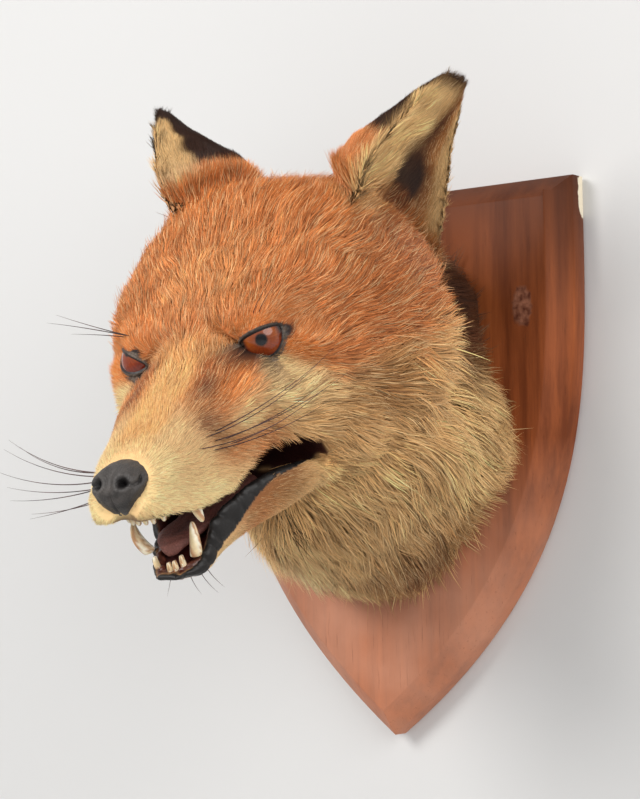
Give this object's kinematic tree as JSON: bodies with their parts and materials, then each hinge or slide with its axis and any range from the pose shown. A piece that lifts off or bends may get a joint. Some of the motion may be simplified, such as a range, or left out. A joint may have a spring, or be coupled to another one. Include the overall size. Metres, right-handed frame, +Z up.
{
  "type": "mounted red fox head taxidermy",
  "caption": "Preserved red fox head with bared teeth and pricked ears, fixed to a shield-shaped hardwood board to hang on a wall.",
  "frame": {"origin": "middle of the board's back face, which lies against the wall", "axes": "+Z up; +Y into the wall, so the head looks out towards -Y; +X to the fox's left"},
  "size_m": [0.2036, 0.2335, 0.2877],
  "materials": {
    "stained_wood": "reddish-brown stained hardwood with vertical grain under a satin varnish",
    "fur": "dense matte fur, rust orange on the crown, yellow-buff on the muzzle, cheeks and throat",
    "ear_fur": "short velvety fur, black-brown on the backs, buff inside",
    "nose_skin": "fine-grained black skin with a waxy half-matte surface",
    "eye_glass": "glossy glass eye, orange-brown iris round a dark pupil",
    "mouth_flesh": "painted mouth lining and tongue, dark maroon-brown with a wet gloss",
    "lip_skin": "painted black lips and lid edges, satin with glossy folds",
    "tooth": "aged ivory-coloured enamel, browner at the gum",
    "whisker": "stiff dark brown whiskers"
  },
  "bodies": {
    "root": {"plaque": "stained_wood", "neck": "fur", "head": "fur", "lower_jaw": "fur", "ear_left": "ear_fur", "ear_right": "ear_fur", "nose": "nose_skin", "eye_left": "eye_glass", "eye_right": "eye_glass", "tongue": "mouth_flesh", "upper_teeth": "tooth", "lower_teeth": "tooth"}
  },
  "joints": []
}
